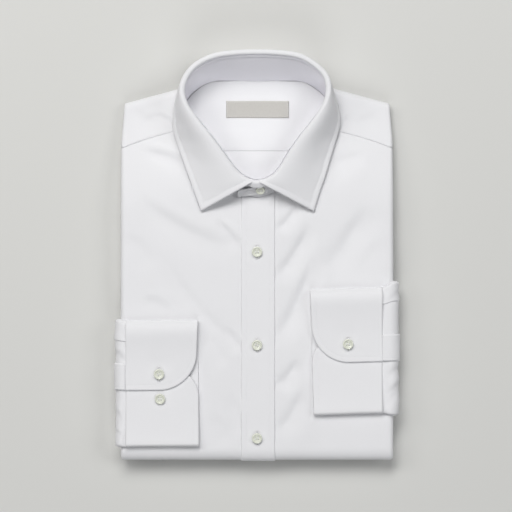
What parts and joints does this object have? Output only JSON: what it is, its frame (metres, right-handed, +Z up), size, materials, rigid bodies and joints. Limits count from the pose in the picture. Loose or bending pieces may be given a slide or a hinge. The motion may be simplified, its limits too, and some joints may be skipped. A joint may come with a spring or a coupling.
{
  "type": "folded dress shirt",
  "caption": "Long-sleeved white dress shirt folded flat with spread collar, buttoned front placket and both cuffs laid on the front.",
  "frame": {"origin": "centre of the bounding box in plan, on the underside that lies on the table", "axes": "+Z up out of the table, +Y towards the collar, +X towards the shirt's own left side, which is the viewer's right"},
  "size_m": [0.2702, 0.3884, 0.0465],
  "materials": {
    "shirt_cotton": "crisp white fine-twill cotton shirting, pressed",
    "label_cloth": "bare warm-grey woven satin label",
    "button_pearl": "pale pearl-look resin, polished"
  },
  "bodies": {
    "root": {"right_front": "shirt_cotton", "left_front": "shirt_cotton", "placket": "shirt_cotton", "yoke": "shirt_cotton", "folded_layers": "shirt_cotton", "yoke_lining": "shirt_cotton", "back": "shirt_cotton", "neck_label": "label_cloth", "collar_stand": "shirt_cotton", "collar_leaf": "shirt_cotton", "right_sleeve": "shirt_cotton", "right_gauntlet": "shirt_cotton", "right_cuff": "shirt_cotton", "left_sleeve": "shirt_cotton", "left_gauntlet": "shirt_cotton", "left_cuff": "shirt_cotton", "button_front_1": "button_pearl", "button_front_2": "button_pearl", "button_front_3": "button_pearl", "button_cuff_right_upper": "button_pearl", "button_cuff_right_lower": "button_pearl", "button_cuff_left": "button_pearl", "button_collar": "button_pearl"}
  },
  "joints": []
}
